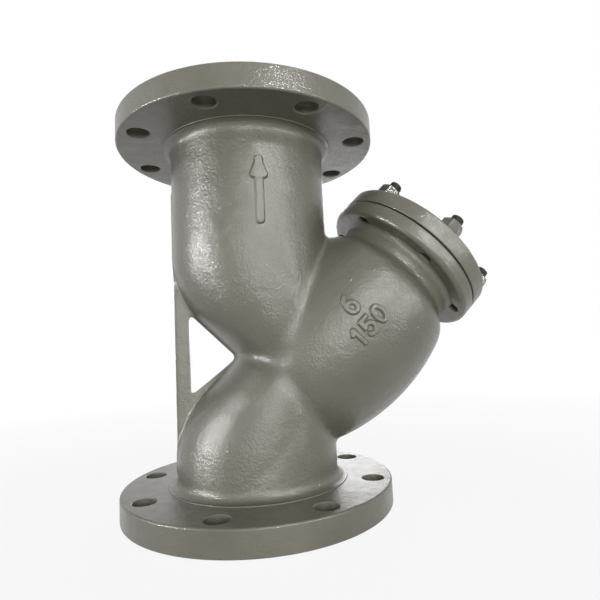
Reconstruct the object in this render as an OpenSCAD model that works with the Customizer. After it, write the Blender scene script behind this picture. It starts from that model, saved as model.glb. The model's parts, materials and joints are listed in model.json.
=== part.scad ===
// Flanged Y strainer, standing on its inlet flange.
// Millimetres. The origin is the centre of the inlet sealing face, +Z runs along the
// pipe towards the outlet, and the screen branch leans towards +X in the XZ plane.

/* [Run] */
// Distance between the two sealing faces
face_to_face = 406.4; // [395:0.1:500]
// Diameter of the pipe bore
bore_d = 152.4; // [125:0.1:190]
// Thickness of the cast walls
wall = 8; // [5:0.5:10]

/* [Run flanges] */
// Outer diameter of the inlet and outlet flanges
flange_od = 279.4; // [275:0.1:340]
// Thickness of a flange with its raised face
flange_t = 25.4; // [18:0.1:32]
// Diameter of the raised sealing face
face_d = 215.9; // [180:0.1:218]
// Height of the raised sealing face
face_h = 1.6; // [1:0.1:3]
// Diameter of the circle of bolt holes
bolt_pcd = 241.3; // [238:0.1:252]
// Diameter of a bolt hole
bolt_d = 22.2; // [16:0.1:24]
// Number of bolt holes
bolt_n = 8; // [4:4:12]
// Diameter of the hub where it meets the flange
hub_d = 186; // [178:1:200]
// Length of the hub
hub_l = 14; // [8:1:20]

/* [Branch] */
// Angle between the branch and the run
branch_tilt = 45; // [44:0.5:46]
// Height at which the branch axis crosses the run axis
branch_z = 76; // [72:0.5:80]
// Largest diameter of the screen chamber
belly_d = 190; // [180:1:196]
// Place of the largest diameter, along the branch
belly_s = 148; // [135:1:155]
// Radius of the arc that the chamber swells along
belly_arc = 225; // [200:5:300]
// Place of the chamber's shoulder, along the branch
shoulder_s = 206; // [196:1:210]
// Outer diameter of the neck behind the bonnet flange
neck_d = 144; // [138:1:150]
// Rounding radius of the bags that close the two lobes
bag_r = 90; // [86:1:110]

/* [Bonnet] */
// Place of the bonnet flange's sealing face, along the branch
bonnet_face_s = 256; // [250:0.5:290]
// Thickness of the bonnet flange
bonnet_t = 16; // [13:0.5:20]
// Outer diameter of the bonnet flange and its cover
bonnet_od = 187; // [184:0.5:210]
// Diameter of the opening that the screen goes in through
opening_d = 120; // [116:0.5:121]
// Thickness of the cover
cover_t = 18.2; // [15:0.1:24]
// Thickness of the gasket when it is clamped
gasket_t = 1.8; // [1:0.1:4]
// Inner diameter of the gasket
gasket_id = 122; // [121.5:0.1:123]
// Outer diameter of the gasket
gasket_od = 142; // [138:0.5:143]
// Radial width of the gasket's two solid rings
gasket_ring_w = 3; // [1.5:0.5:5]

/* [Studs and nuts] */
// Number of studs
stud_n = 6; // [4:1:8]
// Diameter of the circle of studs
stud_pcd = 158; // [157.5:0.5:161]
// Diameter of a stud
stud_d = 14; // [12:0.5:14.5]
// Length of a stud
stud_l = 54; // [46:1:66]
// Depth of the open thread behind a stud
stud_recess = 4; // [2:0.5:6]
// Diameter of a stud hole in the cover
stud_hole_d = 15.5; // [15.2:0.1:17]
// Width of a nut across its flats
nut_af = 22; // [20:0.5:24]
// Height of a nut
nut_h = 12.8; // [9:0.1:15]

/* [Screen] */
// Outer diameter of the perforated tube
screen_d = 112; // [100:0.5:113]
// Thickness of the perforated sheet
screen_t = 1.5; // [1:0.1:3]
// Outer diameter of the end rings
screen_ring_d = 116; // [114:0.5:118]
// Height of the end rings
screen_ring_h = 8; // [6:0.5:14]
// Diameter of the seat bore in the partition
seat_bore_d = 100; // [90:1:104]
// Diameter of a perforation
hole_d = 14; // [10:0.5:18]
// Number of perforations round the tube
hole_n = 12; // [8:2:16]
// Number of rows of perforations
hole_rows = 6; // [4:1:8]
// Diameter of the wire of the pull handle
bail_wire = 5; // [3:0.5:7]

/* [Drain plug] */
// Diameter of the plug's thread
plug_d = 33.2; // [26:0.1:40]
// Length of the plug's thread
plug_l = 25; // [18:0.5:27]
// Width of the plug's square head across its flats
plug_af = 24; // [18:1:30]
// Height of the square head
plug_head_h = 12; // [8:1:14]
// Thickness of the plug's collar
plug_collar_t = 4; // [3:0.5:6]
// Thickness of the sealing washer
washer_t = 2; // [1:0.5:3]
// Outer diameter of the washer and collar
washer_od = 46; // [42:0.5:52]
// Height of the boss round the plug
boss_h = 8; // [5:1:12]
// Outer diameter of the boss
boss_d = 60; // [54:1:70]

/* [Web] */
// Thickness of the web between the lobes
web_t = 12; // [8:1:18]
// Width of the upright strip that closes the window
web_strip = 15; // [10:1:20]
// Corner radius of the window
window_r = 6; // [3:0.5:10]

/* [Hidden] */
$fn = 96;
// Radial clearance of a screwed or turning fit
fit = 0.05;
// Overshoot of a cutter past the face that it cuts
eps = 1;
barrel_r = bore_d / 2 + wall;
neck_r = neck_d / 2;
// The plane square to the branch where the inlet lobe ends and the other two begin
base_s = 43;
// How far the inlet lobe's edge stands from the branch axis
inlet_edge_w = 68;
// The partition that holds the screen's seat
partition_t = 10;
partition_s = base_s + partition_t;
// Depth of the recess that the screen's bottom ring sits in
seat_depth = 4;
// How far the end rings stand inside the tube
ring_in = 5;
ring_bore_d = screen_d - 2 * ring_in;
// How far each end of the pull wire stops short of the top ring's bore, where its weld is
bail_clear = 0.15;
seat_s = partition_s - seat_depth;
// Radial clearance of the end rings in the chamber's seat
screen_clear = 0.5;
// Gap between the top ring and the cover's spigot
screen_gap = 0.3;
screen_top_s = bonnet_face_s - screen_gap;
screen_l = screen_top_s - seat_s;
cover_s = bonnet_face_s + gasket_t;
// Height above which the barrel is whole, clear of the outlet bag
outlet_bag_z = branch_z + (base_s + bag_r) / sin(branch_tilt);
// Where the seat bore starts, inside the inlet lobe
seat_bore_s = 15;
// Length of the straight bore inside the neck
neck_bore_l = 6;
// How far the neck's rounding ends behind the bonnet flange
neck_round_end = 14;
// Where the outlet lobe's lower flank stops, on the far side of the branch axis
outlet_flank_x = 10;
// How far the web's edge stays inside the barrel
web_inset = 0.4;
web_x = web_inset - barrel_r;
// How far the web reaches below and above the branch's crossing, into both lobes' flanks
web_below = 26;
web_above = 190;
web_z0 = branch_z - web_below;
web_z1 = branch_z + web_above;
cover_top_s = cover_s + cover_t;
boss_top_s = cover_top_s + boss_h;
// Radial clearance of the cover's spigot in the opening
spigot_clear = 1.5;
spigot_d = opening_d - 2 * spigot_clear;
neck_s = bonnet_face_s - bonnet_t;
stud_s = neck_s + stud_recess;
// Longer than any shape that a half space or a bag has to cross
sweep_l = 2 * bonnet_face_s;
// How far the hub's small end sinks into the barrel
hub_inset = 0.5;
// The window's tip and its lower and upper corners, as heights above the branch's crossing
window_tip_x = -19;
window_tip_h = 77;
window_low_h = 39;
window_high_h = 127;

STUD_NODES = [for (i = [1:stud_n]) str("stud_", i)];
NUT_NODES = [for (i = [1:stud_n]) str("nut_", i)];

paint = [0.52, 0.50, 0.45];
bare_steel = [0.58, 0.58, 0.57];
graphite = [0.16, 0.16, 0.17];
stainless = [0.72, 0.73, 0.74];

// Radius of the swelling chamber at a place along the branch
function belly(s) = belly_d / 2 - belly_arc
    + sqrt(belly_arc * belly_arc - (s - belly_s) * (s - belly_s));

// Half outline of the chamber, thinned by t, from its base to its neck
function chamber_outline(s0, s1, t, mouth_r) = concat(
    [[0, s0]],
    [for (k = [0:9]) let (s = s0 + (shoulder_s - t - s0) * k / 9) [belly(s) - t, s]],
    [for (a = [30:30:90]) let (s = shoulder_s - t, rise = neck_s - neck_round_end - shoulder_s)
        [mouth_r + (belly(s) - t - mouth_r) * cos(a), s + rise * sin(a)]],
    [[mouth_r, s1], [0, s1]]);

// The branch's own frame: its Z runs along the branch, its X points down and outwards
module on_branch() {
    translate([0, 0, branch_z]) rotate([0, branch_tilt, 0]) children();
}

// A disc on the branch axis between two places along it
module branch_disc(d, s0, s1) {
    translate([0, 0, s0]) cylinder(d = d, h = s1 - s0);
}

// A flat ring on the branch axis
module branch_ring(od, id, s0, s1) {
    difference() {
        branch_disc(od, s0, s1);
        branch_disc(id, s0 - eps, s1 + eps);
    }
}

// Places of the studs, one pair of them square to the run
module at_studs() {
    for (i = [1:stud_n]) at_stud(i) children();
}

module at_stud(i) {
    rotate([0, 0, 90 + (i - 1) * 360 / stud_n]) translate([stud_pcd / 2, 0, 0]) children();
}

// The half spaces on either side of a plane square to the branch
module before_plane(s) {
    translate([-sweep_l, -sweep_l, s - 2 * sweep_l]) cube(2 * sweep_l);
}

module past_plane(s) {
    translate([-sweep_l, -sweep_l, s]) cube(2 * sweep_l);
}

// The bags round off the lobes: the inlet one runs along the branch, the other across it
module inlet_bag(t) {
    on_branch() translate([bag_r - inlet_edge_w, 0, -sweep_l])
        cylinder(r = bag_r - t, h = 2 * sweep_l);
}

module outlet_bag(t) {
    on_branch() translate([0, 0, base_s + bag_r]) rotate([0, 90, 0])
        cylinder(r = bag_r - t, h = 2 * sweep_l, center = true);
}

// The run's barrel between two heights, thinned by t
module barrel(t, z0, z1) {
    translate([0, 0, z0]) cylinder(r = barrel_r - t, h = z1 - z0);
}

// The inlet lobe: the barrel, closed by its bag and stopped where the chamber begins
module inlet_shape(t, z0) {
    intersection() {
        barrel(t, z0, face_to_face / 2);
        union() {
            inlet_bag(t);
            barrel(-wall, z0 - eps, flange_t + eps);
        }
        on_branch() before_plane(base_s);
    }
}

// The outlet lobe: the barrel from the outlet down to its bag
module outlet_shape(t, z1, start_s) {
    intersection() {
        barrel(t, branch_z - bag_r, z1);
        union() {
            outlet_bag(t);
            barrel(-wall, outlet_bag_z, z1 + eps);
        }
        on_branch() past_plane(start_s);
        on_branch() translate([outlet_flank_x - 2 * sweep_l, -sweep_l, -sweep_l])
            cube(2 * sweep_l);
    }
}

module chamber_shape(s0, s1, t, mouth_r) {
    on_branch() rotate_extrude() polygon(chamber_outline(s0, s1, t, mouth_r));
}

module chamber_outside() {
    chamber_shape(base_s, neck_s, 0, neck_r);
}

// Everything that is hollow inside the casting
module casting_inside() {
    inlet_shape(wall, -eps);
    outlet_shape(wall, face_to_face + eps, partition_s);
    chamber_shape(partition_s, neck_s + eps, wall, opening_d / 2);
    on_branch() {
        branch_disc(opening_d, neck_s - neck_bore_l, bonnet_face_s + eps);
        branch_disc(seat_bore_d, seat_bore_s, partition_s + eps);
        branch_disc(screen_ring_d + 2 * screen_clear, seat_s, partition_s + eps);
    }
}

// One run flange, with its back towards +Z
module run_flange() {
    difference() {
        union() {
            cylinder(d = face_d, h = face_h + eps);
            translate([0, 0, face_h]) cylinder(d = flange_od, h = flange_t - face_h);
        }
        translate([0, 0, -eps]) cylinder(d = bore_d, h = flange_t + 2 * eps);
        for (i = [1:bolt_n])
            rotate([0, 0, (i - 0.5) * 360 / bolt_n]) translate([bolt_pcd / 2, 0, -eps])
                cylinder(d = bolt_d, h = flange_t + 2 * eps);
    }
}

// The cone where a barrel joins the back of its flange
module hub() {
    translate([0, 0, flange_t]) cylinder(d1 = hub_d, d2 = 2 * (barrel_r - hub_inset), h = hub_l);
}

// The same thing at the other end of the run
module at_outlet() {
    translate([0, 0, face_to_face]) mirror([0, 0, 1]) children();
}

// The window's corners, and its outline with rounded corners
window_x = -barrel_r + web_strip;
window_tip = [window_tip_x, branch_z + window_tip_h];
window_low = [window_x, branch_z + window_low_h];
window_high = [window_x, branch_z + window_high_h];

// Rounds the corner p of an outline that runs from a through p to b
function rounded(a, p, b) =
    let (u = (a - p) / norm(a - p), v = (b - p) / norm(b - p),
         half = acos(u * v) / 2, m = (u + v) / norm(u + v),
         c = p + m * window_r / sin(half))
    [for (k = [0:4]) let (
        n0 = p + u * window_r / tan(half) - c, n1 = p + v * window_r / tan(half) - c,
        q = n0 * (4 - k) + n1 * k) c + q * window_r / norm(q)];

module window_outline() {
    polygon(concat(rounded(window_low, window_tip, window_high),
                   rounded(window_tip, window_high, window_low),
                   rounded(window_high, window_low, window_tip)));
}

module inlet_flange() {
    color(paint) run_flange();
}

module outlet_flange() {
    color(paint) at_outlet() run_flange();
}

module inlet_lobe() {
    color(paint) difference() {
        union() {
            inlet_shape(0, flange_t);
            hub();
        }
        casting_inside();
    }
}

module outlet_lobe() {
    color(paint) difference() {
        union() {
            outlet_shape(0, face_to_face - flange_t, base_s);
            at_outlet() hub();
        }
        chamber_outside();
        casting_inside();
    }
}

module screen_chamber() {
    color(paint) difference() {
        chamber_outside();
        casting_inside();
    }
}

module bonnet_flange() {
    color(paint) on_branch() difference() {
        branch_ring(bonnet_od, opening_d, neck_s, bonnet_face_s);
        translate([0, 0, neck_s - eps]) at_studs()
            cylinder(r = stud_d / 2 + fit, h = bonnet_t + 2 * eps);
    }
}

// The flat web between the lobes, with its triangular window
module web_strap() {
    color(paint) difference() {
        translate([web_x, -web_t / 2, web_z0]) cube([-web_x, web_t, web_z1 - web_z0]);
        rotate([90, 0, 0]) linear_extrude(height = 3 * web_t, center = true) window_outline();
        inlet_bag(0);
        on_branch() past_plane(base_s);
    }
}

module cover() {
    color(paint) on_branch() difference() {
        union() {
            branch_disc(bonnet_od, cover_s, cover_top_s);
            branch_disc(spigot_d, bonnet_face_s, cover_s + eps);
            branch_disc(boss_d, cover_top_s - eps, boss_top_s);
        }
        branch_disc(plug_d + 2 * fit, bonnet_face_s - eps, boss_top_s + eps);
        translate([0, 0, cover_s - eps]) at_studs()
            cylinder(d = stud_hole_d, h = cover_t + 2 * eps);
    }
}

module gasket_inner_ring() {
    color(bare_steel) on_branch()
        branch_ring(gasket_id + 2 * gasket_ring_w, gasket_id, bonnet_face_s, cover_s);
}

module gasket_winding() {
    color(graphite) on_branch()
        branch_ring(gasket_od - 2 * gasket_ring_w, gasket_id + 2 * gasket_ring_w,
                    bonnet_face_s, cover_s);
}

module gasket_outer_ring() {
    color(bare_steel) on_branch()
        branch_ring(gasket_od, gasket_od - 2 * gasket_ring_w, bonnet_face_s, cover_s);
}

module stud(i) {
    color(bare_steel) on_branch() translate([0, 0, stud_s]) at_stud(i)
        cylinder(d = stud_d, h = stud_l);
}

module nut(i) {
    color(bare_steel) on_branch() translate([0, 0, cover_top_s]) at_stud(i) difference() {
        cylinder(d = nut_af / cos(30), h = nut_h, $fn = 6);
        translate([0, 0, -eps]) cylinder(r = stud_d / 2 + fit, h = nut_h + 2 * eps);
    }
}

module screen_tube() {
    pitch = (screen_l - 2 * screen_ring_h) / hole_rows;
    color(stainless) on_branch() difference() {
        branch_ring(screen_d, screen_d - 2 * screen_t,
                    seat_s + screen_ring_h, screen_top_s - screen_ring_h);
        for (row = [0:hole_rows - 1], i = [1:hole_n])
            translate([0, 0, seat_s + screen_ring_h + (row + 0.5) * pitch])
                rotate([0, 0, (i + (row % 2) / 2) * 360 / hole_n])
                    translate([screen_d / 2 - 2 * screen_t, 0, 0]) rotate([0, 90, 0])
                        cylinder(d = hole_d, h = 3 * screen_t);
    }
}

module screen_end_ring(s0) {
    color(stainless) on_branch()
        branch_ring(screen_ring_d, ring_bore_d, s0, s0 + screen_ring_h);
}

module screen_top_ring() {
    screen_end_ring(screen_top_s - screen_ring_h);
}

module screen_bottom_ring() {
    screen_end_ring(seat_s);
}

// A straight wire across the top ring, whose ends are welded to the ring's bore
module screen_bail() {
    color(stainless) on_branch() translate([0, 0, screen_top_s - screen_ring_h / 2])
        rotate([90, 0, 0]) cylinder(d = bail_wire, h = ring_bore_d - 2 * bail_clear, center = true);
}

module drain_plug_washer() {
    color(bare_steel) on_branch()
        branch_ring(washer_od, plug_d + 2 * fit, boss_top_s, boss_top_s + washer_t);
}

module drain_plug() {
    head_s = boss_top_s + washer_t;
    color(bare_steel) on_branch() {
        branch_disc(plug_d, head_s - plug_l, head_s + eps);
        branch_disc(washer_od, head_s, head_s + plug_collar_t);
        translate([-plug_af / 2, -plug_af / 2, head_s + plug_collar_t - eps])
            cube([plug_af, plug_af, plug_head_h + eps]);
    }
}

inlet_flange();
inlet_lobe();
outlet_flange();
outlet_lobe();
screen_chamber();
bonnet_flange();
web_strap();
cover();
gasket_inner_ring();
gasket_winding();
gasket_outer_ring();
screen_tube();
screen_top_ring();
screen_bottom_ring();
screen_bail();
drain_plug();
drain_plug_washer();
for (i = [1:stud_n]) stud(i);
for (i = [1:stud_n]) nut(i);
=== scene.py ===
# %% [markdown]
# # A flanged Y strainer
# This strainer is one grey-green painted casting with a pipe flange at each end. A leaning branch
# holds a perforated screen, and a bolted cover with a drain plug closes the branch. The solid model
# gives every size and place. This script gives each piece its finer shape and its finish.

# %% Load the solid model
import json
import math

import bmesh
import bpy
import numpy as np
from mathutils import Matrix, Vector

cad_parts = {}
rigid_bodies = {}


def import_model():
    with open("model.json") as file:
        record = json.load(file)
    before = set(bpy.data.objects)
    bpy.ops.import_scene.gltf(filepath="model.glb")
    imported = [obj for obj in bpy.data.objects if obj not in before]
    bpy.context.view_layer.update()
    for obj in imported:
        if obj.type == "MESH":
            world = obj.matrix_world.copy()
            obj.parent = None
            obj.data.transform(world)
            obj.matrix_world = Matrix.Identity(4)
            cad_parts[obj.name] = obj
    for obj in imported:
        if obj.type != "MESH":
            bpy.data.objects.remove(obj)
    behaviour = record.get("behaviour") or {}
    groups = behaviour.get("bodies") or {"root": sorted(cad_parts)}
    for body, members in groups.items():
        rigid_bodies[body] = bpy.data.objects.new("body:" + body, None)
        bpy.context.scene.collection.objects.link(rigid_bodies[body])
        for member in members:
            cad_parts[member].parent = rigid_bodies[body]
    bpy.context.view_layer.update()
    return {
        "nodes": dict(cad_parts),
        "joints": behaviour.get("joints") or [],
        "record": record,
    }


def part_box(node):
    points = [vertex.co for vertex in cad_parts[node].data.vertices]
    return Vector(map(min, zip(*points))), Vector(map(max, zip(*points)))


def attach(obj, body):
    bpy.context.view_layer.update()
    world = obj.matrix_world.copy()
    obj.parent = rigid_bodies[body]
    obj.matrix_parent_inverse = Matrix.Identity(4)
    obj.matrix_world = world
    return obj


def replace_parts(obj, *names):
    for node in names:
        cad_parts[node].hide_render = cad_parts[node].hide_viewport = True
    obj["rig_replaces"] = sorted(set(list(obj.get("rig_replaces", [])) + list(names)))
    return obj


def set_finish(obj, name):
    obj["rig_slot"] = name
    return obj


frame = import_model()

import openvdb
from mathutils import Matrix, Vector

# %% [markdown]
# ## The camera
# The camera stands about half a metre in front, a little to the left, and looks slightly up. A close,
# wide lens makes the upper flange show its underside and the lower one its top, so the lens matters
# as much as the place. The camera's axes are given directly, which is exact and needs no target.

# %% Camera
EYE = Vector((-0.04627, -0.50568, 0.16399))
LOOK = Vector((0.19480, 0.97683, 0.08866))
RIGHT = Vector((0.98039, -0.19117, -0.04783))

camera_data = bpy.data.cameras.new("camera")
camera_data.lens = 27.44
camera_data.sensor_width = 36.0
camera_data.shift_x = -0.0018
camera_data.shift_y = 0.0063
camera_data.clip_start = 0.01
camera = bpy.data.objects.new("camera", camera_data)
up = RIGHT.cross(LOOK)
camera.matrix_world = Matrix.Translation(EYE) @ Matrix((RIGHT, up, -LOOK)).transposed().to_4x4()
bpy.context.scene.collection.objects.link(camera)
bpy.context.scene.camera = camera
print("camera", tuple(round(v, 3) for v in EYE), "lens", camera_data.lens)

# %% [markdown]
# ## Measuring the solid model
# The branch leans at 45 degrees, so its pieces are simplest in a frame of their own, whose Z runs
# along the branch. The joint that lifts the cover gives its direction, and the gasket's centre a
# point on it. Sizes are read from each node's points, in millimetres, so that they follow the model.

# %% The branch's own frame
MM = 0.001
branch_dir = Vector(frame["joints"][0]["axis"]).normalized()
low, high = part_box("gasket_winding")
gasket_mid = (low + high) / 2
crossing = gasket_mid.z - gasket_mid.x * branch_dir.z / branch_dir.x
across = Vector((0, 1, 0)).cross(branch_dir)
ON_BRANCH = Matrix.Translation((0, 0, crossing)) @ Matrix(
    (across, (0, 1, 0), branch_dir)).transposed().to_4x4()


def points_of(node, place=ON_BRANCH):
    """A node's points in a frame, in millimetres."""
    points = np.array([v.co for v in frame["nodes"][node].data.vertices])
    back = np.array(place.inverted())
    return (points @ back[:3, :3].T + back[:3, 3]) / MM


def span(node, place=ON_BRANCH):
    """Where a node starts and ends along a frame's Z, and its least and greatest radius."""
    points = points_of(node, place)
    radius = np.hypot(points[:, 0], points[:, 1])
    return points[:, 2].min(), points[:, 2].max(), radius.min(), radius.max()


def middle(node):
    """The middle of a node across the branch."""
    points = points_of(node)[:, :2]
    return (points.min(0) + points.max(0)) / 2


print("branch crosses the run at", round(crossing / MM, 2), "mm")
print("cover", [round(v, 2) for v in span("cover")])

# %% [markdown]
# ## Helpers for turned and drilled pieces
# Most pieces are turned on a lathe, so an outline of radius and height is spun round. Real corners
# are never sharp, so each corner has its own small radius. Holes are cut with a boolean, as a drill
# would. Weighted normals then keep the flat faces flat and the small roundings soft.

# %% Meshes and shading
IDENTITY = Matrix.Identity(4)


def piece(name, points, faces, place=IDENTITY, sharp=35):
    """A new object from points in millimetres, with edges sharper than an angle kept crisp."""
    mesh = bpy.data.meshes.new(name)
    mesh.from_pydata([tuple(p) for p in np.asarray(points, float) * MM], [], faces)
    mesh.transform(place)
    obj = bpy.data.objects.new(name, mesh)
    bpy.context.scene.collection.objects.link(obj)
    shade(obj, sharp)
    return obj


def shade(obj, sharp=35):
    """Cleans a mesh up, turns its faces outwards and marks its crisp edges."""
    work = bmesh.new()
    work.from_mesh(obj.data)
    bmesh.ops.remove_doubles(work, verts=work.verts, dist=0.004 * MM)
    bmesh.ops.recalc_face_normals(work, faces=work.faces)
    for face in work.faces:
        face.smooth = True
    for edge in work.edges:
        edge.smooth = len(edge.link_faces) == 2 and edge.calc_face_angle() < math.radians(sharp)
    work.to_mesh(obj.data)
    work.free()


def settle(obj):
    """Applies an object's modifiers to its mesh."""
    graph = bpy.context.evaluated_depsgraph_get()
    mesh = bpy.data.meshes.new_from_object(obj.evaluated_get(graph))
    obj.modifiers.clear()
    obj.data = mesh


def weigh_normals(obj):
    """Keeps flat faces flat beside small roundings."""
    weigh = obj.modifiers.new("weigh", "WEIGHTED_NORMAL")
    weigh.keep_sharp = True
    settle(obj)


# %% Turning and drilling
def round_corners(corners, steps=4):
    """A closed outline from corners given as radius, height and corner radius."""
    outline = []
    for before, corner, after in zip(corners[-1:] + corners[:-1], corners, corners[1:] + corners[:1]):
        here = Vector(corner[:2])
        if not corner[2]:
            outline.append(here)
            continue
        u = (Vector(before[:2]) - here).normalized()
        v = (Vector(after[:2]) - here).normalized()
        half = u.angle(v) / 2
        centre = here + (u + v).normalized() * corner[2] / math.sin(half)
        reach = corner[2] / math.tan(half)
        start, end = here + u * reach - centre, here + v * reach - centre
        for k in range(steps + 1):
            outline.append(centre + start.lerp(end, k / steps).normalized() * corner[2])
    return outline


def turn(name, corners, place=IDENTITY, segments=144, sharp=35):
    """Spins a closed outline round Z."""
    outline = round_corners(corners)
    count = len(outline)
    points = []
    for k in range(segments):
        angle = 2 * math.pi * k / segments
        points += [(p.x * math.cos(angle), p.x * math.sin(angle), p.y) for p in outline]
    faces = []
    for k in range(segments):
        a, b = k * count, (k + 1) % segments * count
        faces += [(a + i, b + i, b + (i + 1) % count, a + (i + 1) % count) for i in range(count)]
    return piece(name, points, faces, place, sharp)


def drill_outline(radius, z0, z1, chamfer):
    """The outline of a drill that countersinks both faces of a plate."""
    return [(0, z0 - 2, 0), (radius + chamfer + 2, z0 - 2, 0), (radius, z0 + chamfer, 0),
            (radius, z1 - chamfer, 0), (radius + chamfer + 2, z1 + 2, 0), (0, z1 + 2, 0)]


def drill(obj, places, outline, segments=48):
    """Cuts one turned hole at each place."""
    for k, place in enumerate(places):
        bit = turn(f"bit_{k}", outline, place, segments)
        cut = obj.modifiers.new(f"hole_{k}", "BOOLEAN")
        cut.object = bit
        cut.solver = "EXACT"
    settle(obj)
    for k in range(len(places)):
        bpy.data.objects.remove(bpy.data.objects[f"bit_{k}"])
    shade(obj)


# %% [markdown]
# ## Helpers for threads and hexagons
# A thread and a nut's flats are both a radius that changes with angle and height. One function makes
# a column of rings, and a small rule for each piece says how far each point stands out. A thread
# made this way is a true helix, and it stays light.

# %% Columns
def column(name, heights, outer, bore=None, place=IDENTITY, segments=48, sharp=35):
    """A closed column whose outside, and bore if it has one, are radii by angle and height."""
    angle = np.arange(segments) * 2 * math.pi / segments
    rings = []
    for rule in (outer, bore):
        if rule is not None:
            grid_a, grid_z = np.meshgrid(angle, np.asarray(heights, float))
            radius = rule(grid_a, grid_z)
            wall = np.stack([radius * np.cos(grid_a), radius * np.sin(grid_a), grid_z], -1)
            rings.append(wall.reshape(-1, 3))
    rows = len(heights)
    faces = []
    for wall in range(len(rings)):
        for row in range(rows - 1):
            base = wall * rows * segments + row * segments
            faces += [(base + i, base + (i + 1) % segments, base + segments + (i + 1) % segments,
                       base + segments + i) for i in range(segments)]
    top = (rows - 1) * segments
    if bore is None:
        faces += [tuple(range(segments)), tuple(range(top, top + segments))]
    else:
        inner = rows * segments
        for base in (0, top):
            faces += [(base + i, base + (i + 1) % segments, inner + base + (i + 1) % segments,
                       inner + base + i) for i in range(segments)]
    return piece(name, np.concatenate(rings), faces, place, sharp)


def thread(radius, pitch, depth, z0, z1, chamfer=1.2):
    """A rule for a screw thread with a tapered start at both ends."""
    def rule(angle, z):
        turns = (z / pitch - angle / (2 * math.pi)) % 1
        crest = np.clip(2.6 * np.abs(turns - 0.5) - 0.15, 0, 1)
        taper = np.clip(np.minimum(z - z0, z1 - z) - chamfer, -chamfer, 0)
        return radius - depth * crest + taper * (1 - crest * depth / radius)
    return rule


def flats(count, across_flats, z0, z1, round_to):
    """A rule for a prism whose corners are cut by a cone at both ends."""
    def rule(angle, z):
        turn_by = (angle + math.pi / count) % (2 * math.pi / count) - math.pi / count
        side = across_flats / 2 / np.cos(turn_by - 0.0)
        cone = 0.475 * across_flats + 1.73 * np.minimum(z - z0, z1 - z)
        return np.minimum(np.minimum(side, cone), round_to)
    return rule


# %% [markdown]
# ## The casting's skin
# The body is one sand casting: two rounded lobes in line with the pipe, a barrel-shaped screen
# chamber, and a flat web with a window. Joining turned shapes by hand would leave hard seams, so the
# skin is worked out from a distance rule: how far each point in space is from the surface. Two rules
# blend into each other with a soft minimum, which gives the fillets that a moulder's pattern has.

# %% Blending rules
LEAN = math.sqrt(0.5)
z0_run, z1_run, _, flange_r = span("inlet_flange", IDENTITY)
outlet_low, face_to_face, bore_r, _ = span("outlet_flange", IDENTITY)
neck_s, bonnet_s, opening_r, bonnet_r = span("bonnet_flange")
crossing_z = crossing / MM
WALL = 8
barrel_r = bore_r + WALL
pad_r = barrel_r + 9.8
PAD_H = 0.8
BREADTH = 0.85
print("barrel", round(barrel_r, 2), "bonnet", round(neck_s, 2), round(bonnet_s, 2))


def soft_min(a, b, k):
    """The smaller of two distances, blended over a width k."""
    h = np.clip(0.5 + 0.5 * (b - a) / k, 0, 1)
    return b * (1 - h) + a * h - k * h * (1 - h)


def soft_max(a, b, k):
    """The greater of two distances, blended over a width k."""
    return -soft_min(-a, -b, k)


def round_max(a, b, radius):
    """The greater of two distances, with the edge between them rounded to a radius."""
    corner = np.hypot(np.maximum(a + radius, 0), np.maximum(b + radius, 0))
    return np.minimum(np.maximum(a, b), -radius) + corner


def bag(along, side, end, radius):
    """A rounded end, broader across than along, which fades out along the barrel."""
    past = along - end - radius
    return np.hypot(np.minimum(past, 0), BREADTH * side) - radius - 0.4 * np.maximum(past, 0)


# %% The lobes, the chamber and the web
def outlet_lobe(x, y, z, s):
    """The barrel from the upper flange, closed by a bag square to the branch."""
    r = np.hypot(x, y)
    return round_max(r - barrel_r, bag(s, y, 43, 84), 27)


def inlet_lobe(x, y, z, s, w):
    """The barrel from the lower flange, closed by a bag along the branch."""
    r = np.hypot(x, y)
    lobe = round_max(r - barrel_r, bag(-w, y, -68, 84), 27)
    return soft_max(lobe, s - 60, 20)


def chamber(s, rr):
    """The swelling chamber, turned on the branch axis, with a rounded shoulder and base."""
    swell = 95 - 225 + np.sqrt(np.maximum(225 ** 2 - (s - 148) ** 2, 1))
    shell = (rr - swell) * 0.93
    shell = soft_max(shell, s - 224, 26)
    return soft_max(shell, 20 - s, 40)


def window(x, z):
    """The triangular hole in the web, with rounded corners."""
    h = z - crossing_z - 77
    upper = ((x + 19) + h) * LEAN
    lower = (x + 19) * math.sin(math.radians(37)) - h * math.cos(math.radians(37))
    left = -(x + barrel_r - 15.2)
    sides = np.stack([upper, lower, left]) + 6
    return np.where(sides.max(0) > 0, np.linalg.norm(np.maximum(sides, 0), axis=0), sides.max(0)) - 6


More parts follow.
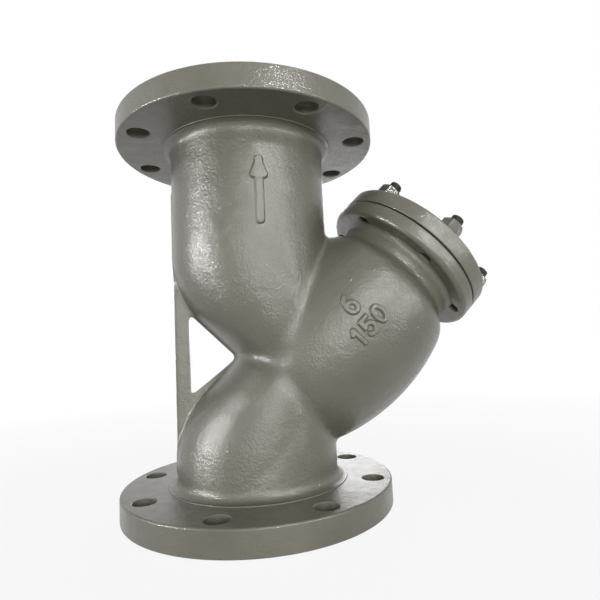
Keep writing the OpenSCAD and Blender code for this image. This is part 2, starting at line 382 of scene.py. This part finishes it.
def outside(x, y, z):
    """Distance to the outside of the casting, without its flanges."""
    s, w = (x + z - crossing_z) * LEAN, (z - crossing_z - x) * LEAN
    r, rr = np.hypot(x, y), np.hypot(w, y)
    upper, lower = outlet_lobe(x, y, z, s), inlet_lobe(x, y, z, s, w)
    neck = np.maximum(np.maximum(rr - 72, 150 - s), s - neck_s - 4)
    branch = np.maximum(soft_min(chamber(s, rr), neck, 5), s - neck_s - 4)
    body = soft_min(soft_min(upper, branch, 7), lower, 7)
    web = np.maximum(np.maximum(np.abs(y) - 6, 0.5 - barrel_r - x), np.maximum(x, -window(x, z)))
    web = np.maximum(web, np.maximum(40 - z, z - 330))
    body = soft_min(body, web, 4)
    pad_low, pad_high = z1_run + PAD_H - 0.2, outlet_low - PAD_H + 0.2
    body = np.minimum(body, np.maximum(soft_min(lower, z - pad_low, 10), r - pad_r + 0.4))
    body = np.minimum(body, np.maximum(soft_min(upper, pad_high - z, 10), r - pad_r + 0.4))
    collar = np.maximum(soft_min(branch, neck_s + 0.2 - s, 6), np.maximum(rr - 77, s - neck_s - 4))
    body = np.minimum(body, np.maximum(collar, 225 - s))
    ends = np.maximum(z1_run - 4 - z, z - outlet_low - 4)
    return np.maximum(body, ends)


# %% The hollow inside
PARTITION = (43, 53)


def hollow(x, y, z):
    """Distance to the flow passages and the screen's chamber."""
    s, w = (x + z - crossing_z) * LEAN, (z - crossing_z - x) * LEAN
    r, rr = np.hypot(x, y), np.hypot(w, y)
    inlet = np.maximum(inlet_lobe(x, y, z, s, w) + WALL, s - PARTITION[0])
    inlet = np.minimum(inlet, np.maximum(r - bore_r, z - z1_run - 12))
    outlet = soft_min(outlet_lobe(x, y, z, s) + WALL, chamber(s, rr) + WALL, 4)
    outlet = np.maximum(outlet, PARTITION[1] - s)
    outlet = np.minimum(outlet, np.maximum(r - bore_r, outlet_low - 12 - z))
    mouth = np.maximum(rr - opening_r, 224 - s)
    seat = np.maximum(rr - 60, np.maximum(20 - s, s - 60))
    return np.minimum(np.minimum(inlet, outlet), np.minimum(mouth, seat))


def casting(p):
    """Distance to the hollow casting, for an array of points."""
    x, y, z = p[..., 0], p[..., 1], p[..., 2]
    return np.maximum(outside(x, y, z), -hollow(x, y, z))


# %% [markdown]
# A grid of cubes samples the rule, and the volume library turns it into four-sided faces. Each point
# then slides onto the exact surface along the slope of the rule, which removes the grid's steps.

# %% Mesh the skin
def slope(rule, p, step=0.05):
    """The direction in which a distance rule grows."""
    sides = [rule(p + step * axis) - rule(p - step * axis) for axis in np.eye(3)]
    out = np.stack(sides, -1)
    return out / np.maximum(np.linalg.norm(out, axis=-1, keepdims=True), 1e-9)


def mesh_of(rule, lowest, highest, cell):
    """Points and faces of the surface of a distance rule inside a box."""
    axes = [np.arange(a, b + cell, cell) for a, b in zip(lowest, highest)]
    field = np.empty([len(a) for a in axes], np.float32)
    yy, zz = np.meshgrid(axes[1], axes[2], indexing="ij")
    for i, x in enumerate(axes[0]):
        field[i] = rule(np.stack([np.full_like(yy, x), yy, zz], -1))
    grid = openvdb.FloatGrid(1e3)
    grid.copyFromArray(field / cell)
    points, quads = grid.convertToQuads(isovalue=0)
    points = points.astype(float) * cell + np.array([a[0] for a in axes])
    for _ in range(3):
        points -= np.clip(rule(points), -cell, cell)[:, None] * slope(rule, points) * 0.9
    return points, quads.astype(int)


cell = 2.2
lowest = (-barrel_r - 8, -104, z1_run - 8)
highest = (215, 104, outlet_low + 8)
skin_points, skin_faces = mesh_of(casting, lowest, highest, cell)
skin = piece("casting_skin", skin_points, [tuple(f) for f in skin_faces], sharp=50)
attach(skin, "casting")
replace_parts(skin, "inlet_lobe", "outlet_lobe", "screen_chamber", "web_strap")
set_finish(skin, "cast_paint")
print("casting skin", len(skin.data.polygons), "faces")

# %% [markdown]
# ## The run flanges
# Each end of the run is a thick disc, cast with the body and machined on its sealing face, its rim
# and its back. Turning gives the raised face with its fine grooves, which grip the gasket, and the
# small step round the hub. The eight bolt holes straddle the branch, so the first is half a pitch off.

# %% Flange outline
face_r = 107.95
RAISED = 1.6
GROOVE_PITCH = 1.2


def grooves(r0, r1, z):
    """Fine turned grooves across a sealing face."""
    count = int((r1 - r0) / GROOVE_PITCH)
    step = (r1 - r0) / count
    rows = [[(r0 + i * step, z, 0), (r0 + (i + 0.5) * step, z + 0.12, 0)] for i in range(count)]
    return [corner for row in rows for corner in row]


thick = z1_run - z0_run
flange_outline = [(bore_r, thick + PAD_H, 0), (bore_r, 0, 0.8)] + \
    grooves(bore_r + 2, face_r - 2, 0) + \
    [(face_r, 0, 0.4), (face_r, RAISED, 0.4), (flange_r, RAISED, 1.6), (flange_r, thick, 2.0),
     (pad_r, thick, 0.3), (pad_r, thick + PAD_H, 0.3)]

# %% Make both flanges
BOLTS = next(m for m in frame["record"]["mounts"] if m["name"] == "inlet_bolts")["dims"]
OUTLET = Matrix.Translation((0, 0, face_to_face * MM)) @ Matrix.Rotation(math.pi, 4, "X")


def bolt_places(place):
    """The places of the bolt holes, half a pitch off the branch's plane."""
    spin = [Matrix.Rotation((k + 0.5) * 2 * math.pi / BOLTS["count"], 4, "Z")
            for k in range(BOLTS["count"])]
    return [place @ turn_to @ Matrix.Translation((BOLTS["pcd_mm"] / 2 * MM, 0, 0)) for turn_to in spin]


for node, place in (("inlet_flange", IDENTITY), ("outlet_flange", OUTLET)):
    flange = turn(node + "_disc", flange_outline, place, 160)
    drill(flange, bolt_places(place), drill_outline(BOLTS["hole_r_mm"], RAISED, thick, 0.7))
    weigh_normals(flange)
    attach(flange, "casting")
    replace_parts(flange, node)
    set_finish(flange, "cast_paint")
    print(flange.name, len(flange.data.polygons), "faces")

# %% [markdown]
# ## The bonnet flange and the cover
# The branch ends in a round flange, and the cover is a plain disc of the same size. The flange's back
# is softly rounded as cast, and its tapped holes come out at the back, where a few turns of thread
# show behind each stud. A thin gap between flange and cover shows where the gasket is.

# %% Bonnet flange
stud_s0, stud_s1, _, _ = span("stud_1")
stud_r = (points_of("stud_1")[:, 0].max() - points_of("stud_1")[:, 0].min()) / 2
stud_count = sum(name.startswith("stud_") for name in frame["nodes"])
stud_mids = [middle(f"stud_{k + 1}") for k in range(stud_count)]
PITCH = 2.0


def at_stud(k):
    """The place of one stud, turned to face outwards."""
    x, y = stud_mids[k]
    spin = Matrix.Rotation(math.atan2(y, x), 4, "Z")
    return ON_BRANCH @ Matrix.Translation((x * MM, y * MM, 0)) @ spin


bonnet_outline = [
    (opening_r, neck_s, 0), (77, neck_s, 0), (bonnet_r, neck_s, 5.0), (bonnet_r, bonnet_s, 1.0),
    (opening_r + 9, bonnet_s, 0.3), (opening_r + 9, bonnet_s - 0.6, 0.2),
    (opening_r, bonnet_s - 0.6, 0.8)]
tapped = [(0, neck_s - 2, 0), (stud_r + 2.6, neck_s - 2, 0), (stud_r + 0.1, neck_s + 0.6, 0)]
for turn_no in range(3):
    tapped += [(stud_r + 0.1, neck_s + 0.8 + turn_no * 1.2, 0),
               (stud_r - 0.9, neck_s + 1.4 + turn_no * 1.2, 0)]
tapped += [(stud_r - 0.6, bonnet_s + 2, 0), (0, bonnet_s + 2, 0)]
bonnet = turn("bonnet_flange_disc", bonnet_outline, ON_BRANCH)
drill(bonnet, [at_stud(k) for k in range(stud_count)], tapped, 36)
weigh_normals(bonnet)
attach(bonnet, "casting")
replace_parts(bonnet, "bonnet_flange")
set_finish(bonnet, "cast_paint")
print("bonnet flange", len(bonnet.data.polygons), "faces")

# %% Cover
gasket_s0, cover_s, _, _ = span("gasket_winding")
cover_top = span("nut_1")[0]
spigot_s, boss_top, plug_hole_r, cover_r = span("cover")
spigot_r = opening_r - 1.5
BOSS_R = 30
cover_outline = [
    (plug_hole_r, spigot_s, 1.0), (spigot_r, spigot_s, 1.2), (spigot_r, cover_s, 0.3),
    (cover_r, cover_s, 1.0), (cover_r, cover_top, 2.2), (BOSS_R, cover_top, 3.0),
    (BOSS_R, boss_top, 1.5), (plug_hole_r, boss_top, 1.0)]
cover = turn("cover_disc", cover_outline, ON_BRANCH)
drill(cover, [at_stud(k) for k in range(stud_count)],
      drill_outline(stud_r + 0.75, cover_s, cover_top, 0.6), 36)
weigh_normals(cover)
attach(cover, "cover")
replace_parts(cover, "cover")
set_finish(cover, "cover_paint")
print("cover", len(cover.data.polygons), "faces")

# %% [markdown]
# ## Studs and nuts
# Six studs are screwed into the bonnet flange, and a nut on each one holds the cover. The thread is a
# real helix, because the stud's end stands out beyond the nut where light catches it. A nut's corners
# are cut by a cone, which leaves the curved edges that every machined nut has.

# %% Make studs and nuts
nut_s0, nut_s1, _, _ = span("nut_1")
NUT_AF = 22
rows = np.linspace(stud_s0, stud_s1, int((stud_s1 - stud_s0) / PITCH * 8) + 1)
nut_rows = np.concatenate([np.linspace(nut_s0, nut_s0 + 1.5, 6),
                           np.linspace(nut_s0 + 2, nut_s1 - 2, 40), np.linspace(nut_s1 - 1.5, nut_s1, 6)])
for k in range(stud_count):
    stud = column(f"stud_{k + 1}_rod", rows, thread(stud_r, PITCH, 1.1, stud_s0, stud_s1),
                  place=at_stud(k), segments=32, sharp=60)
    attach(stud, "casting")
    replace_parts(stud, f"stud_{k + 1}")
    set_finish(stud, "fastener")
    nut = column(f"nut_{k + 1}_hex", nut_rows, flats(6, NUT_AF, nut_s0, nut_s1, 12.5),
                 lambda a, z: np.full_like(z, stud_r + 0.05), at_stud(k), 72, 25)
    weigh_normals(nut)
    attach(nut, "nuts")
    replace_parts(nut, f"nut_{k + 1}")
    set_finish(nut, "fastener")
print(stud_count, "studs and nuts")

# %% [markdown]
# ## The gasket
# A spiral-wound gasket is a thin steel strip and a soft graphite strip, wound together between two
# solid rings. The winding's fine ridges are turned as one zigzag outline, like the grooves before.

# %% Make the gasket
_, _, inner_r0, inner_r1 = span("gasket_inner_ring")
_, _, outer_r0, outer_r1 = span("gasket_outer_ring")


def plain_ring(r0, r1, s0, s1, corner):
    """The outline of a ring with equal corners."""
    return [(r0, s0, corner), (r1, s0, corner), (r1, s1, corner), (r0, s1, corner)]


def wound_ring(r0, r1, s0, s1, turns):
    """The outline of a wound strip, ridged on both faces."""
    edge = np.linspace(r0, r1, 2 * turns + 1)
    below = [(r, s0 + 0.15 * (i % 2), 0) for i, r in enumerate(edge)]
    above = [(r, s1 - 0.15 * (i % 2), 0) for i, r in reversed(list(enumerate(edge)))]
    return below + above


for node, outline, slot in (
        ("gasket_inner_ring", plain_ring(inner_r0, inner_r1, gasket_s0, cover_s, 0.3), "gasket_steel"),
        ("gasket_winding", wound_ring(inner_r1, outer_r0, gasket_s0, cover_s, 6), "graphite"),
        ("gasket_outer_ring", plain_ring(outer_r0, outer_r1, gasket_s0, cover_s, 0.3), "gasket_steel")):
    ring = turn(node + "_turned", outline, ON_BRANCH, 120, 20)
    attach(ring, "gasket")
    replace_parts(ring, node)
    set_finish(ring, slot)
print("gasket", round(gasket_s0, 2), "to", round(cover_s, 2))

# %% [markdown]
# ## The screen and its seat
# The screen is a sheet of stainless steel, punched with thousands of small holes, rolled into a tube
# and welded between two rings. A boolean for every hole would be slow, so one small cell with a round
# hole is repeated round the tube, and shared points join the cells into one sheet.

# %% Perforated tube
tube_s0, tube_s1, _, tube_r1 = span("screen_tube")
TUBE_T = 1.5
HOLE_R = 1.9
cells_round = 60
cells_up = int((tube_s1 - tube_s0 - 4) / (2 * math.pi * tube_r1 / cells_round))
cell_h = (tube_s1 - tube_s0) / cells_up
cell_w = 2 * math.pi * tube_r1 / cells_round
SIDES = 8
ring_u = [math.cos(2 * math.pi * (i + 0.5) / SIDES) for i in range(SIDES)]
ring_v = [math.sin(2 * math.pi * (i + 0.5) / SIDES) for i in range(SIDES)]
square = [(min(max(u * 1.5, -1), 1) * cell_w / 2, min(max(v * 1.5, -1), 1) * cell_h / 2)
          for u, v in zip(ring_u, ring_v)]
hole = [(u * HOLE_R, v * HOLE_R) for u, v in zip(ring_u, ring_v)]
tube_points, tube_faces = [], []
for row in range(cells_up):
    for col in range(cells_round):
        first = len(tube_points)
        for radius in (tube_r1, tube_r1 - TUBE_T):
            for u, v in square + hole:
                angle = (u + (col + row % 2 / 2) * cell_w) / tube_r1
                tube_points.append((radius * math.cos(angle), radius * math.sin(angle),
                                    tube_s0 + (row + 0.5) * cell_h + v))
        for i in range(SIDES):
            j = (i + 1) % SIDES
            tube_faces.append((first + i, first + j, first + SIDES + j, first + SIDES + i))
            tube_faces.append(tuple(first + 2 * SIDES + n for n in (j, i, SIDES + i, SIDES + j)))
            tube_faces.append((first + SIDES + i, first + SIDES + j,
                               first + 3 * SIDES + j, first + 3 * SIDES + i))
tube = piece("screen_tube_punched", tube_points, tube_faces, ON_BRANCH, 40)
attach(tube, "screen")
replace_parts(tube, "screen_tube")
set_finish(tube, "stainless")
print("perforated tube", cells_up * cells_round, "holes")

# %% Rings, pull wire and seat
ring_r0 = span("screen_top_ring")[2]
for node in ("screen_top_ring", "screen_bottom_ring"):
    s0, s1, r0, r1 = span(node)
    ring = turn(node + "_turned", plain_ring(r0, r1, s0, s1, 0.8), ON_BRANCH, 120)
    weigh_normals(ring)
    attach(ring, "screen")
    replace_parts(ring, node)
    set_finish(ring, "stainless")

wire_mid = (span("screen_top_ring")[0] + span("screen_top_ring")[1]) / 2
WIRE_R = 2.5
ALONG_Y = ON_BRANCH @ Matrix.Translation((0, 0, wire_mid * MM)) @ Matrix.Rotation(-math.pi / 2, 4, "X")
reach = np.concatenate([np.linspace(-ring_r0, 4 - ring_r0, 9), np.linspace(6 - ring_r0, ring_r0 - 6, 25),
                        np.linspace(ring_r0 - 4, ring_r0, 9)])
bail = column("screen_bail_wire", reach,
              lambda a, z: WIRE_R + 1.6 * np.clip(1 - (ring_r0 - np.abs(z)) / 3.5, 0, 1) ** 2,
              place=ALONG_Y, segments=24)
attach(bail, "screen")
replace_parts(bail, "screen_bail")
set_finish(bail, "stainless")

seat_s = span("screen_bottom_ring")[0]
seat_outline = [(50, PARTITION[0], 0.8), (50, seat_s, 0.4), (58.5, seat_s, 0.3), (58.5, PARTITION[1], 0.6),
                (64, PARTITION[1], 0), (64, PARTITION[0], 0)]
seat = turn("screen_seat", seat_outline, ON_BRANCH, 120)
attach(seat, "casting")
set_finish(seat, "cast_paint")
print("rings, pull wire and seat made")

# %% [markdown]
# ## The drain plug
# A square-headed plug in the cover drains the chamber, and a soft washer seals it. The head is a
# rounded square cut by a cone, the collar is turned, and the shank has a real thread.

# %% Make the plug
washer_s0, washer_s1, washer_r0, washer_r1 = span("drain_plug_washer")
plug_s0, plug_s1, _, _ = span("drain_plug")
plug_r = washer_r0 - 0.05
COLLAR_T = 4
PLUG_AF = 24
washer = turn("drain_plug_washer_turned",
              plain_ring(washer_r0, washer_r1, washer_s0, washer_s1, 0.5), ON_BRANCH, 96)
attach(washer, "plug_washer")
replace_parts(washer, "drain_plug_washer")
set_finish(washer, "soft_washer")

collar_s = washer_s1 + COLLAR_T
shank_rows = np.linspace(plug_s0, washer_s1, int((washer_s1 - plug_s0) / 2.3 * 8) + 1)
shank_rule = thread(plug_r, 2.3, 1.2, plug_s0, washer_s1 + 5)
head_rule = flats(4, PLUG_AF, collar_s - 8, plug_s1, 0.66 * PLUG_AF)


def plug_rule(angle, z):
    """The shank below, the collar in the middle and the square head on top."""
    collar_edge = np.clip(np.minimum(z - washer_s1, collar_s - z), 0, 0.8)
    rounded = washer_r1 - 0.8 + np.sqrt(np.maximum(0.64 - (0.8 - collar_edge) ** 2, 0))
    body = np.where(z <= collar_s, rounded, head_rule(angle, z))
    return np.where(z < washer_s1, shank_rule(angle, z), body)


plug_rows = np.concatenate([
    shank_rows[:-1], washer_s1 + np.array([-0.01, 0, 0.2, 0.5, 0.8]),
    collar_s - np.array([0.8, 0.5, 0.2, 0]), collar_s + np.array([0.01, 4]),
    np.linspace(plug_s1 - 3.5, plug_s1, 10)])
plug = column("drain_plug_turned", plug_rows, plug_rule, place=ON_BRANCH, segments=72, sharp=40)
weigh_normals(plug)
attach(plug, "plug")
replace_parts(plug, "drain_plug")
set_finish(plug, "fastener")
print("drain plug", round(plug_s0, 1), "to", round(plug_s1, 1))

# %% [markdown]
# ## Raised marks
# The pattern leaves a flow arrow on the upper barrel, the pipe size and the pressure class on the
# chamber. Each mark is a set of strokes with sloping sides, laid on the skin along the surface rule,
# so it bends with the casting and its foot melts into it.

# %% Strokes
def line(a, b):
    """A rule for the distance to a straight stroke."""
    a, b = np.array(a, float), np.array(b, float)

    def rule(p):
        t = np.clip(((p - a) @ (b - a)) / ((b - a) @ (b - a)), 0, 1)
        return np.linalg.norm(p - a - t[..., None] * (b - a), axis=-1)
    return rule


def arc(centre, rx, ry, start, end):
    """A rule for the distance to part of an ellipse, as a chain of short strokes."""
    turns = np.radians(np.linspace(start, end, 25))
    ends = [(centre[0] + rx * math.cos(t), centre[1] + ry * math.sin(t)) for t in turns]
    parts = [line(a, b) for a, b in zip(ends, ends[1:])]
    return lambda p: np.min([part(p) for part in parts], axis=0)


FIGURES = {
    "1": [line((0.03, -0.42), (0.03, 0.42)), line((0.03, 0.42), (-0.14, 0.26))],
    "5": [line((-0.20, 0.42), (0.22, 0.42)), line((-0.20, 0.42), (-0.22, 0.06)),
          arc((-0.02, -0.14), 0.26, 0.28, 140, -145)],
    "0": [arc((0, 0), 0.25, 0.42, 0, 360)],
    "6": [arc((0, -0.16), 0.25, 0.26, 0, 360), arc((0.34, -0.12), 0.59, 0.60, 180, 112)],
}
ARROW = [line((0, -29), (0, 27)), line((0, 27), (-4.5, 15)), line((0, 27), (4.5, 15)),
         line((0, 30), (0, 20))]


# %% Lay strokes on the skin
def raised(name, strokes, centre, right, upwards, size, half_width, height, fine=0.55):
    """A raised mark on the front of the casting, as a closed relief let into the skin."""
    right, upwards = np.array(right, float), np.array(upwards, float)
    reach_u = np.arange(-size[0], size[0] + fine, fine)
    reach_v = np.arange(-size[1], size[1] + fine, fine)
    u, v = np.meshgrid(reach_u, reach_v, indexing="ij")
    far = np.min([stroke(np.stack([u, v], -1)) for stroke in strokes], axis=0)
    spot = np.array(centre) + u[..., None] * right + v[..., None] * upwards
    for _ in range(60):
        spot[..., 1] += 0.9 * casting(spot)
    out = slope(casting, spot)
    rise = np.clip(1 - (far - half_width) / (0.7 * height), 0, 1)
    rise = height * rise * rise * (3 - 2 * rise) - 0.25
    top = spot + rise[..., None] * out
    keep = far < half_width + height + fine
    inside = keep[:-1, :-1] & keep[1:, :-1] & keep[:-1, 1:] & keep[1:, 1:]
    number = np.arange(u.size).reshape(u.shape)
    quads = [(number[i, j], number[i + 1, j], number[i + 1, j + 1], number[i, j + 1])
             for i, j in zip(*np.nonzero(inside))]
    used = sorted({n for q in quads for n in q})
    renumber = {n: k for k, n in enumerate(used)}
    quads = [tuple(renumber[n] for n in q) for q in quads]
    lid = top.reshape(-1, 3)[used]
    floor = (spot - 1.5 * out).reshape(-1, 3)[used]
    edges = {}
    for q in quads:
        for a, b in zip(q, q[1:] + q[:1]):
            edges[(a, b)] = edges.get((a, b), 0) + 1
    count = len(used)
    rim = [(b, a, a + count, b + count) for a, b in edges if (b, a) not in edges]
    under = [tuple(n + count for n in reversed(q)) for q in quads]
    mark = piece(name, np.concatenate([lid, floor]), quads + rim + under, sharp=60)
    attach(mark, "casting")
    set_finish(mark, "cast_paint")
    return mark


def scaled(strokes, size):
    """Strokes for a figure of a given height."""
    return [lambda p, stroke=stroke: stroke(p / size) * size for stroke in strokes]


FIGURE_H = 19.5
ALONG, ABOVE = (LEAN, 0, LEAN), (-LEAN, 0, LEAN)
for text, places in (("6", [(146, 28)]), ("150", [(128.5, 2), (143, 2), (159, 2)])):
    for figure, (s, w) in zip(text, places):
        centre = ((s - w) * LEAN, -118, (s + w) * LEAN + crossing_z)
        raised(f"figure_{figure}_{int(s)}", scaled(FIGURES[figure], FIGURE_H), centre, ALONG, ABOVE,
               (10, 14), 1.5, 2.8)
raised("flow_arrow", ARROW, (2.6, -118, 312.5), (1, 0, 0), (0, 0, 1), (10, 33), 3.0, 3.0)

# %% [markdown]
# ## Painted casting
# The body has a semi-gloss olive-grey paint over rough sand-cast iron. Paint hides the colour of the
# metal, not its shape, so the roughness is in the bump: wide waves from the mould and fine grains of
# sand. A clear coat over them gives the broken, sparkling highlights of paint on a rough surface.

# %% Node helpers
def material(name, colour, **sockets):
    """A new material and its shader, with the constant values on the shader itself."""
    made = bpy.data.materials.new(name)
    made.use_nodes = True
    shader = made.node_tree.nodes["Principled BSDF"]
    shader.inputs["Base Color"].default_value = (*colour, 1)
    for socket, value in sockets.items():
        shader.inputs[socket.replace("_", " ")].default_value = value
    return made, made.node_tree, shader


def noise(tree, scale, detail=3.0, roughness=0.5, stretch=(1, 1, 1)):
    """Noise in the object's own space, where one unit is a metre."""
    place = tree.nodes.new("ShaderNodeTexCoord")
    fit = tree.nodes.new("ShaderNodeMapping")
    fit.inputs["Scale"].default_value = stretch
    cloud = tree.nodes.new("ShaderNodeTexNoise")
    cloud.inputs["Scale"].default_value = scale
    cloud.inputs["Detail"].default_value = detail
    cloud.inputs["Roughness"].default_value = roughness
    tree.links.new(place.outputs["Object"], fit.inputs["Vector"])
    tree.links.new(fit.outputs["Vector"], cloud.inputs["Vector"])
    return cloud.outputs["Fac"]


def ramp(tree, value, low, high, from_low=0.3, from_high=0.7):
    """Two colours or greys mixed by a value."""
    mix = tree.nodes.new("ShaderNodeValToRGB")
    mix.color_ramp.elements[0].position = from_low
    mix.color_ramp.elements[1].position = from_high
    mix.color_ramp.elements[0].color = (*low, 1)
    mix.color_ramp.elements[1].color = (*high, 1)
    tree.links.new(value, mix.inputs["Fac"])
    return mix.outputs["Color"]


def bump(tree, shader, layers):
    """Stacks layers of height, strength and depth, the last on top."""
    normal = None
    for height, strength, distance in layers:
        node = tree.nodes.new("ShaderNodeBump")
        node.inputs["Strength"].default_value = strength
        node.inputs["Distance"].default_value = distance
        tree.links.new(height, node.inputs["Height"])
        if normal is not None:
            tree.links.new(normal, node.inputs["Normal"])
        normal = node.outputs["Normal"]
    tree.links.new(normal, shader.inputs["Normal"])
    return normal


# %% Paint
PAINT = (0.180, 0.171, 0.130)


def paint(name, colour, grain, gloss):
    """Semi-gloss paint over a cast or machined surface."""
    made, tree, shader = material(name, colour, Coat_Weight=0.5, Coat_Roughness=0.12, Specular_IOR_Level=0.3)
    cloud = noise(tree, 14, 4, 0.6)
    dark = tuple(c * 0.86 for c in colour)
    light = tuple(c * 1.12 for c in colour)
    tree.links.new(ramp(tree, cloud, dark, light), shader.inputs["Base Color"])
    dull = noise(tree, 90, 3, 0.6)
    tree.links.new(ramp(tree, dull, (gloss,) * 3, (gloss + 0.14,) * 3), shader.inputs["Roughness"])
    waves = noise(tree, 55, 3, 0.55)
    sand = noise(tree, 420, 4, 0.65)
    normal = bump(tree, shader, [(waves, 0.35 * grain, 0.0030), (sand, 0.60 * grain, 0.0010)])
    tree.links.new(normal, shader.inputs["Coat Normal"])
    return made


cast_paint = paint("cast_paint", PAINT, 1.0, 0.34)
machined_paint = paint("machined_paint", PAINT, 0.8, 0.40)
print("paint made")

# %% [markdown]
# ## Bare metals
# The screen is bright stainless steel, brushed by rolling. The fasteners are painted over in the body's
# olive paint, drawn at a third of its brightness as painted shade. The gasket has grey graphite between
# steel rings, and the plug's washer is a soft pressed fibre.

# %% Metals and gasket
def metal(name, colour, rough, scale, stretch, depth):
    """A bare metal with fine marks from making and handling."""
    made, tree, shader = material(name, colour, Metallic=1.0)
    cloud = noise(tree, scale / 12, 3, 0.6)
    dark = tuple(c * 0.78 for c in colour)
    tree.links.new(ramp(tree, cloud, dark, colour), shader.inputs["Base Color"])
    marks = noise(tree, scale, 3, 0.6, stretch)
    tree.links.new(ramp(tree, marks, (rough,) * 3, (rough + 0.16,) * 3), shader.inputs["Roughness"])
    bump(tree, shader, [(marks, 0.25, depth)])
    return made


def soft(name, colour, rough, scale):
    """A matt pressed material with a fine grain."""
    made, tree, shader = material(name, colour, Specular_IOR_Level=0.3)
    grain = noise(tree, scale, 4, 0.7)
    dark = tuple(c * 0.6 for c in colour)
    tree.links.new(ramp(tree, grain, dark, colour), shader.inputs["Base Color"])
    tree.links.new(ramp(tree, grain, (rough,) * 3, (rough + 0.2,) * 3), shader.inputs["Roughness"])
    bump(tree, shader, [(grain, 0.3, 0.0003)])
    return made


stainless = metal("stainless", (0.60, 0.60, 0.59), 0.22, 500, (1, 1, 8), 0.00008)
ring_steel = metal("gasket_steel", (0.50, 0.50, 0.49), 0.34, 400, (1, 1, 1), 0.00010)
# The fasteners' colour is the body paint at a third of its brightness, painted shade on the same paint.
fastener = paint("fastener", tuple(c * 0.3 for c in PAINT), 0.5, 0.42)
graphite = soft("graphite", (0.045, 0.045, 0.048), 0.45, 900)
soft_washer = soft("soft_washer", (0.16, 0.12, 0.09), 0.6, 700)

# %% [markdown]
# Each piece gets its finish from the slot that the record names, and so do the nodes that the new
# pieces stand for, which keeps the hidden solid model and the visible one alike.

# %% Dress the pieces
FINISHES = {"cast_paint": cast_paint, "cover_paint": machined_paint, "stainless": stainless,
            "gasket_steel": ring_steel, "fastener": fastener, "graphite": graphite,
            "soft_washer": soft_washer}
SLOT_OF = {}
for obj in bpy.data.objects:
    if "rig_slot" in obj:
        chosen = FINISHES[obj["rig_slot"]]
        if obj.name.endswith("_disc"):
            chosen = machined_paint
        obj.data.materials.clear()
        obj.data.materials.append(chosen)
        for node in obj.get("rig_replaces", []):
            SLOT_OF[node] = chosen
for node, obj in frame["nodes"].items():
    obj.data.materials.clear()
    obj.data.materials.append(SLOT_OF[node])
print("finishes on", len(SLOT_OF), "nodes")

# %% [markdown]
# ## Floor and light
# The strainer stands on a plain pale floor. A broad lamp in front gives the plain light, and narrow
# ones at the left, right and above give the long highlights of a workshop's windows. The background is white only to the camera
# and in reflections, so it adds no light to the object.

# %% Floor and background
floor_mesh = bpy.data.meshes.new("floor")
floor_mesh.from_pydata([(-6, -6, 0), (6, -6, 0), (6, 6, 0), (-6, 6, 0)], [], [(0, 1, 2, 3)])
floor = bpy.data.objects.new("floor", floor_mesh)
bpy.context.scene.collection.objects.link(floor)


def seen_directly(tree):
    """One where a ray comes straight from the camera, a shiny surface or glass."""
    path = tree.nodes.new("ShaderNodeLightPath")
    seen = path.outputs["Is Camera Ray"]
    for kind in ("Is Glossy Ray", "Is Transmission Ray"):
        either = tree.nodes.new("ShaderNodeMath")
        either.operation = "MAXIMUM"
        tree.links.new(seen, either.inputs[0])
        tree.links.new(path.outputs[kind], either.inputs[1])
        seen = either.outputs[0]
    return seen


def mixed(tree, share, first, second):
    """Two shaders mixed by a share."""
    blend = tree.nodes.new("ShaderNodeMixShader")
    tree.links.new(share, blend.inputs["Fac"])
    tree.links.new(first, blend.inputs[1])
    tree.links.new(second, blend.inputs[2])
    return blend.outputs["Shader"]


# %% Floor paper
floor_paper, tree, shader = material("floor_paper", (0.20, 0.20, 0.20), Roughness=0.9)
pale = tree.nodes.new("ShaderNodeBsdfDiffuse")
pale.inputs["Color"].default_value = (0.8, 0.8, 0.8, 1)
glow = tree.nodes.new("ShaderNodeEmission")
place = tree.nodes.new("ShaderNodeTexCoord")
far = tree.nodes.new("ShaderNodeVectorMath")
far.operation = "LENGTH"
tree.links.new(place.outputs["Object"], far.inputs[0])
fade = tree.nodes.new("ShaderNodeMapRange")
fade.inputs["From Min"].default_value = 0.3
fade.inputs["From Max"].default_value = 1.1
fade.inputs["To Min"].default_value = 0.90
tree.links.new(far.outputs["Value"], fade.inputs["Value"])
paper = mixed(tree, fade.outputs["Result"], pale.outputs["BSDF"], glow.outputs["Emission"])
whole = mixed(tree, seen_directly(tree), shader.outputs["BSDF"], paper)
tree.links.new(whole, tree.nodes["Material Output"].inputs["Surface"])
floor_mesh.materials.append(floor_paper)

# %% World
world = bpy.data.worlds.new("studio")
bpy.context.scene.world = world
world.use_nodes = True
tree = world.node_tree
even = tree.nodes["Background"]
even.inputs["Color"].default_value = (0.10, 0.10, 0.10, 1)
white = tree.nodes.new("ShaderNodeBackground")
white.inputs["Color"].default_value = (1, 1, 1, 1)
sky = mixed(tree, seen_directly(tree), even.outputs["Background"], white.outputs["Background"])
tree.links.new(sky, tree.nodes["World Output"].inputs["Surface"])

# %% Lamps
AIM = Vector((0.05, 0, 0.2))


def lamp(name, place, size, power, gleam=False):
    """A lamp aimed at the middle of the strainer. A gleam shows only in the gloss."""
    light = bpy.data.lights.new(name, "AREA")
    light.energy = power
    light.shape = "RECTANGLE"
    light.size, light.size_y = size
    obj = bpy.data.objects.new(name, light)
    obj.location = place
    obj.visible_diffuse = not gleam
    obj.rotation_euler = (AIM - Vector(place)).to_track_quat("-Z", "Y").to_euler()
    bpy.context.scene.collection.objects.link(obj)


lamp("front", (-0.1, -1.5, 0.35), (0.7, 0.5), 14)
lamp("left_window", (-1.3, -0.30, 0.35), (0.10, 0.4), 26, gleam=True)
lamp("right_window", (1.13, -0.98, 0.40), (0.07, 0.3), 9, gleam=True)
lamp("high_right", (0.47, -1.09, 0.80), (0.14, 0.10), 11, gleam=True)
lamp("overhead", (0.1, 0.4, 1.6), (1.2, 1.2), 2)
lamp("behind", (0.4, 1.7, 0.6), (0.9, 0.9), 9)
bpy.context.scene.view_settings.view_transform = "Standard"
